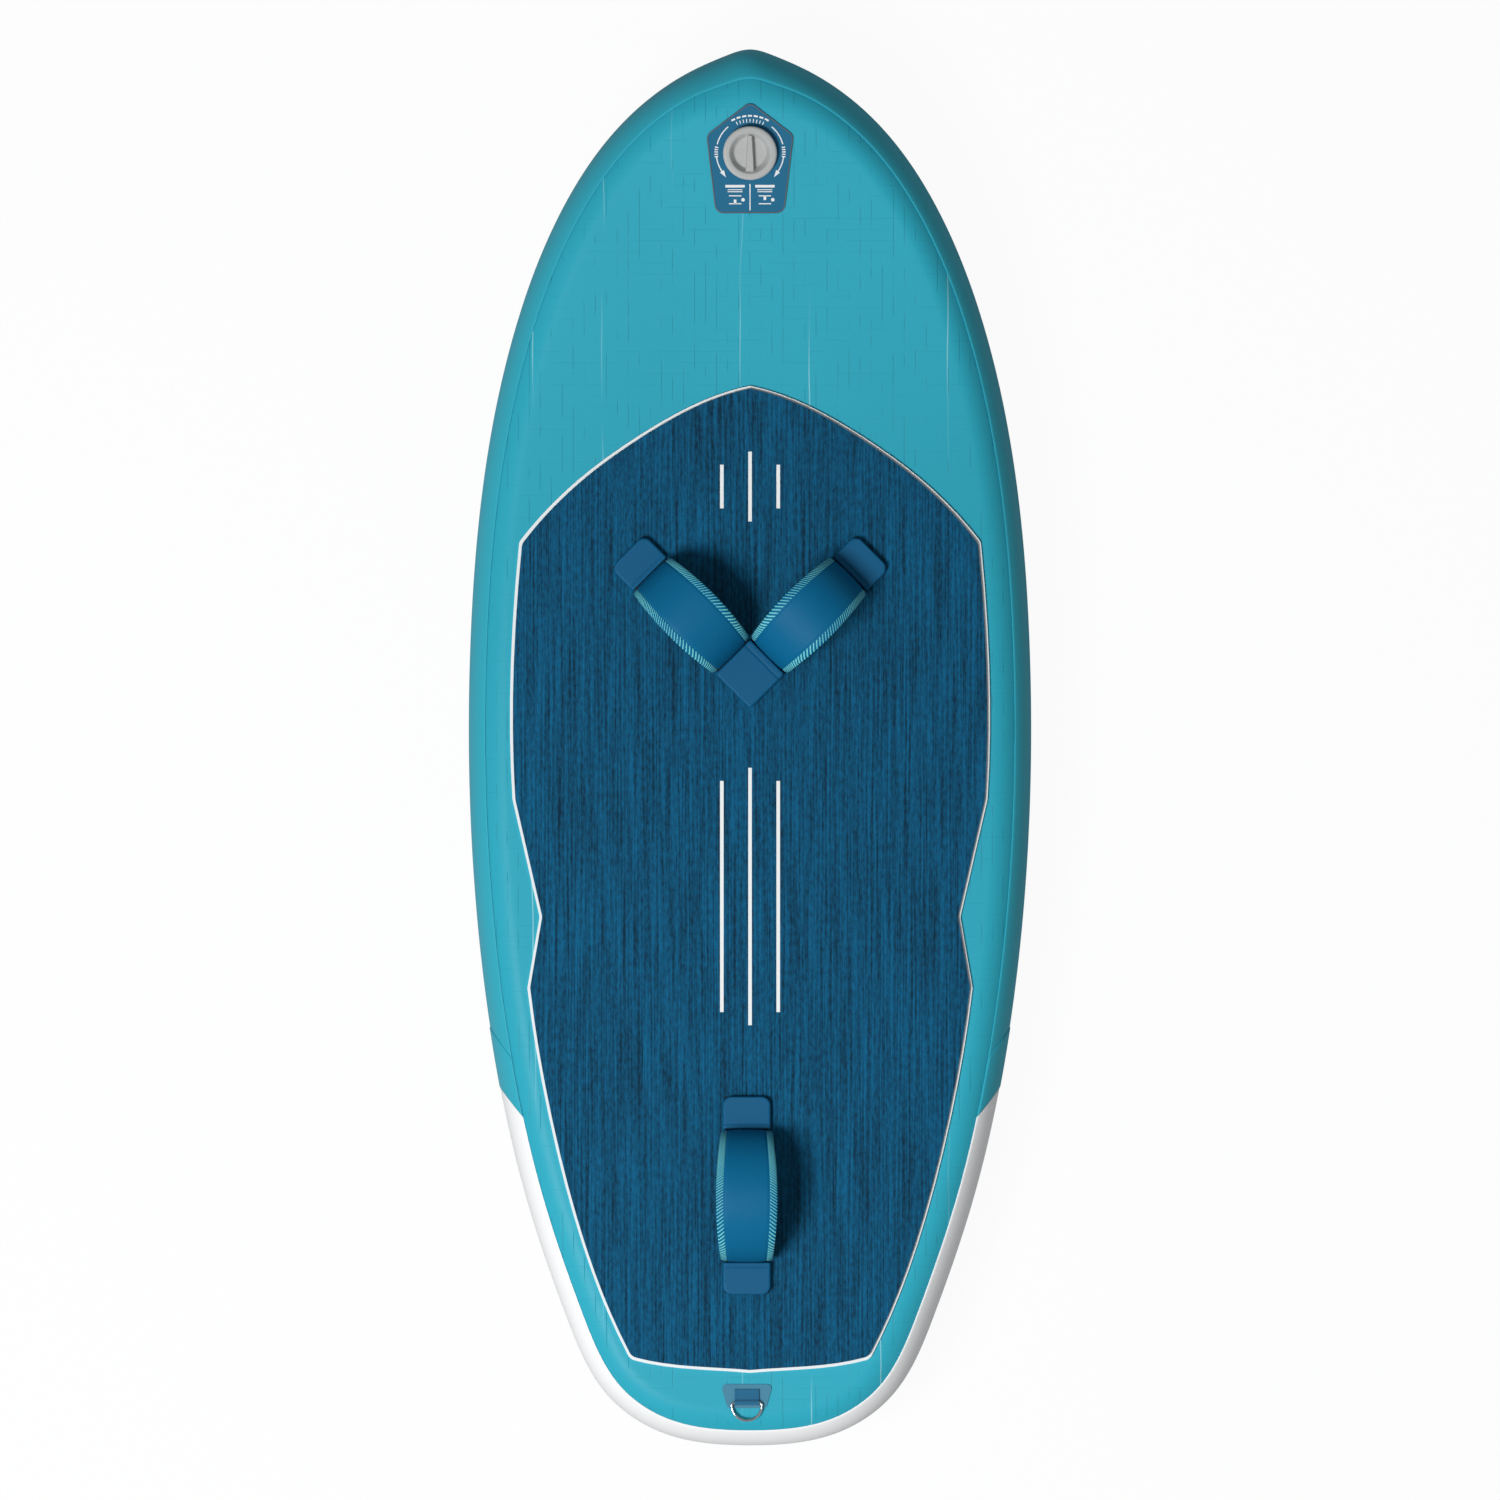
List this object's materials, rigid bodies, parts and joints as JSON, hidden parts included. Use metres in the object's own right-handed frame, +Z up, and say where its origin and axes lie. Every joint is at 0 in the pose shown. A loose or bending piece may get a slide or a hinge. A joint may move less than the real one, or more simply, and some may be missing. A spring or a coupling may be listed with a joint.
{
  "type": "inflatable foil board",
  "caption": "Inflatable drop-stitch foil board with deck pad, foot straps, inflation valve, leash ring, carry handle and a twin-track foil mount.",
  "frame": {"origin": "on the ground below the middle of the board, level with the foil mount's face", "axes": "+Z up through the deck, +Y to the nose, +X to the rider's right"},
  "size_m": [0.646, 1.6002, 0.2422],
  "materials": {
    "hull_skin": "satin",
    "bottom_skin": "satin",
    "rail_tape": "satin",
    "tail_tape": "satin",
    "thread": "matt",
    "white_eva": "matt",
    "blue_eva": "brushed matt",
    "nylon": "matt",
    "brass": "machined",
    "stainless": "satin",
    "patch_skin": "satin",
    "grey_plastic": "matt",
    "black_rubber": "matt",
    "cap_plastic": "matt",
    "leash_patch_skin": "satin",
    "black_webbing": "woven",
    "polished_steel": "polished",
    "mount_plastic": "moulded",
    "track_aluminium": "anodised",
    "handle_fabric": "woven",
    "bottom_patch_skin": "satin",
    "cover_fabric": "woven",
    "tab_fabric": "smooth",
    "nut_steel": "satin"
  },
  "bodies": {
    "board": {"deck_panel": "hull_skin", "bottom_panel": "bottom_skin", "sidewall_left": "hull_skin", "sidewall_right": "hull_skin", "rail_band": "rail_tape", "tail_band": "tail_tape", "drop_stitch_threads": "thread", "pad_underlay": "white_eva", "deck_pad": "blue_eva", "strap_insert_plates": "nylon", "strap_bushings": "brass", "strap_screws": "stainless", "strap_washers": "stainless", "valve_patch": "patch_skin", "valve_body": "grey_plastic", "valve_nut": "grey_plastic", "valve_gasket": "black_rubber", "valve_spring": "stainless", "leash_patch": "leash_patch_skin", "leash_loop": "black_webbing", "foil_plate": "mount_plastic", "foil_track_left": "track_aluminium", "foil_track_right": "track_aluminium", "handle_webbing": "black_webbing", "handle_grip": "handle_fabric", "handle_patch_front": "bottom_patch_skin", "handle_patch_rear": "bottom_patch_skin", "strap_webbing_left": "black_webbing", "strap_cover_left": "cover_fabric", "strap_webbing_right": "black_webbing", "strap_cover_right": "cover_fabric", "strap_webbing_rear": "black_webbing", "strap_cover_rear": "cover_fabric", "strap_tab_left": "tab_fabric", "strap_tab_right": "tab_fabric", "strap_tab_centre": "tab_fabric", "strap_tab_rear_front": "tab_fabric", "strap_tab_rear_back": "tab_fabric"},
    "valve_cap": {"valve_cap": "cap_plastic", "cap_seal": "black_rubber"},
    "valve_pin": {"valve_pin": "grey_plastic", "valve_pin_seal": "black_rubber"},
    "leash_ring": {"leash_d_ring": "polished_steel"},
    "nut_front_left": {"track_nut_front_left": "nut_steel"},
    "nut_front_right": {"track_nut_front_right": "nut_steel"},
    "nut_back_left": {"track_nut_back_left": "nut_steel"},
    "nut_back_right": {"track_nut_back_right": "nut_steel"}
  },
  "joints": [
    {"name": "cap_turn", "type": "hinge", "parent": "board", "child": "valve_cap", "pos_m": [0, 0.6791, 0.18084], "axis": [0, -0.1568, 0.9876], "range_deg": [0, 90]},
    {"name": "valve_push", "type": "slide", "parent": "board", "child": "valve_pin", "axis": [0, -0.1568, 0.9876], "range_m": [-0.006, 0], "stiffness_N_per_m": 600, "springref_m": 0.004, "deforming": ["valve_spring"]},
    {"name": "leash_ring_swing", "type": "hinge", "parent": "board", "child": "leash_ring", "pos_m": [-0.0037, -0.7471, 0.1516], "axis": [-1, 0, 0], "range_deg": [0, 160]},
    {"name": "nut_front_left_slide", "type": "slide", "parent": "board", "child": "nut_front_left", "axis": [0, 1, 0], "range_m": [-0.045, 0.045]},
    {"name": "nut_front_right_slide", "type": "slide", "parent": "board", "child": "nut_front_right", "axis": [0, 1, 0], "range_m": [-0.045, 0.045]},
    {"name": "nut_back_left_slide", "type": "slide", "parent": "board", "child": "nut_back_left", "axis": [0, 1, 0], "range_m": [-0.045, 0.045]},
    {"name": "nut_back_right_slide", "type": "slide", "parent": "board", "child": "nut_back_right", "axis": [0, 1, 0], "range_m": [-0.045, 0.045]}
  ]
}
